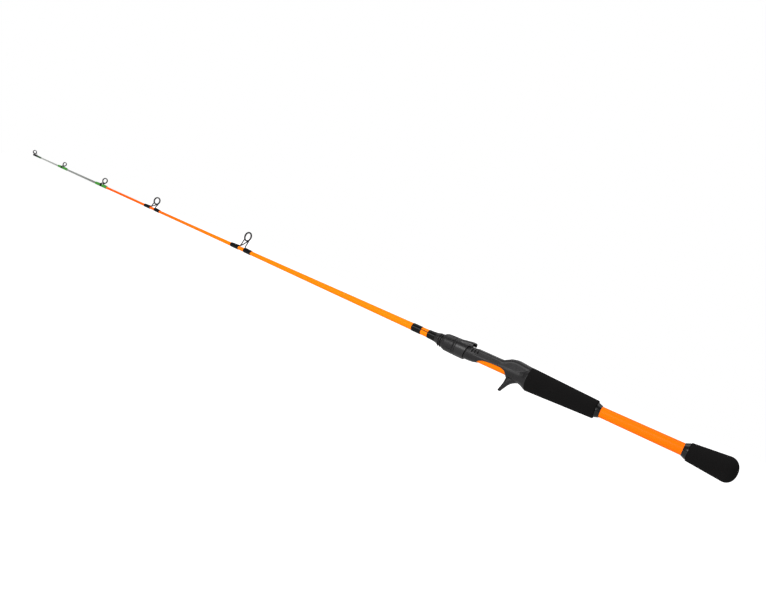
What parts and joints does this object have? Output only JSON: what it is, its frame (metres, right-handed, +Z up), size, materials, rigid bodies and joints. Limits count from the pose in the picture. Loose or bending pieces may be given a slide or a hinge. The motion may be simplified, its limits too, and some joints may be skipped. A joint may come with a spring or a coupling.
{
  "type": "ice fishing rod",
  "caption": "Casting-style ice fishing rod: tapered blank with ringed line guides, trigger reel seat with a screw-down hood, foam grip and foam butt knob.",
  "frame": {"origin": "centre of the flat saddle that a reel's foot rests on, on top of the reel seat", "axes": "+X along the rod from the tip to the butt, +Z up out of the saddle towards the line guides, +Y to the right when looking from the butt to the tip"},
  "size_m": [1.211, 0.0264, 0.0518],
  "materials": {
    "blank_lacquer": "clear-coated translucent orange tube, redder at the tip end and more amber in the middle",
    "solid_tip_resin": "semi-gloss grey solid glass tip",
    "guide_frame_metal": "dark gunmetal plated wire",
    "guide_ring_ceramic": "polished dark ceramic",
    "black_wrap": "black thread under clear gloss epoxy",
    "green_wrap": "green thread under clear gloss epoxy",
    "seat_plastic": "moulded graphite-filled nylon, matte",
    "hood_plastic": "moulded nylon, satin",
    "nut_plastic": "moulded nylon with raised grip panels, matte",
    "arbor_foam": "rigid foam arbor, hidden inside the seat",
    "grip_foam": "closed-cell EVA foam, ground matte",
    "check_rubber": "black moulded winding check, semi-gloss"
  },
  "bodies": {
    "root": {"blank": "blank_lacquer", "blank_tip": "solid_tip_resin", "butt_knob": "grip_foam", "front_arbor": "arbor_foam", "grip_winding_check": "check_rubber", "guide_1_frame": "guide_frame_metal", "guide_1_front_wrap": "black_wrap", "guide_1_rear_wrap": "black_wrap", "guide_1_ring": "guide_ring_ceramic", "guide_2_frame": "guide_frame_metal", "guide_2_front_wrap": "black_wrap", "guide_2_rear_wrap": "black_wrap", "guide_2_ring": "guide_ring_ceramic", "guide_3_frame": "guide_frame_metal", "guide_3_front_wrap": "green_wrap", "guide_3_rear_wrap": "green_wrap", "guide_3_ring": "guide_ring_ceramic", "guide_3_trim_band": "black_wrap", "guide_4_frame": "guide_frame_metal", "guide_4_front_wrap": "green_wrap", "guide_4_rear_wrap": "green_wrap", "guide_4_ring": "guide_ring_ceramic", "guide_4_trim_band": "black_wrap", "handle_wrap_front": "black_wrap", "handle_wrap_rear": "black_wrap", "hook_keeper": "guide_frame_metal", "knob_winding_check": "check_rubber", "rear_arbor": "arbor_foam", "rear_grip": "grip_foam", "seat_body": "seat_plastic", "tip_top_frame": "guide_frame_metal", "tip_top_ring": "guide_ring_ceramic", "tip_wrap": "green_wrap", "window_sleeve": "blank_lacquer"},
    "hood": {"sliding_hood": "hood_plastic"},
    "nut": {"locking_nut": "nut_plastic"}
  },
  "joints": [
    {"name": "hood_slide", "type": "slide", "parent": "root", "child": "hood", "axis": [1, 0, 0], "range_m": [-0.009, 0]},
    {"name": "nut_turn", "type": "hinge", "parent": "hood", "child": "nut", "pos_m": [-0.05, 0, -0.0079], "axis": [1, 0, 0], "range_deg": [-1296, 0]}
  ],
  "couplings": [
    {"joint": "hood_slide", "follows": "nut_turn", "m_per_rad": 0.00039789}
  ]
}
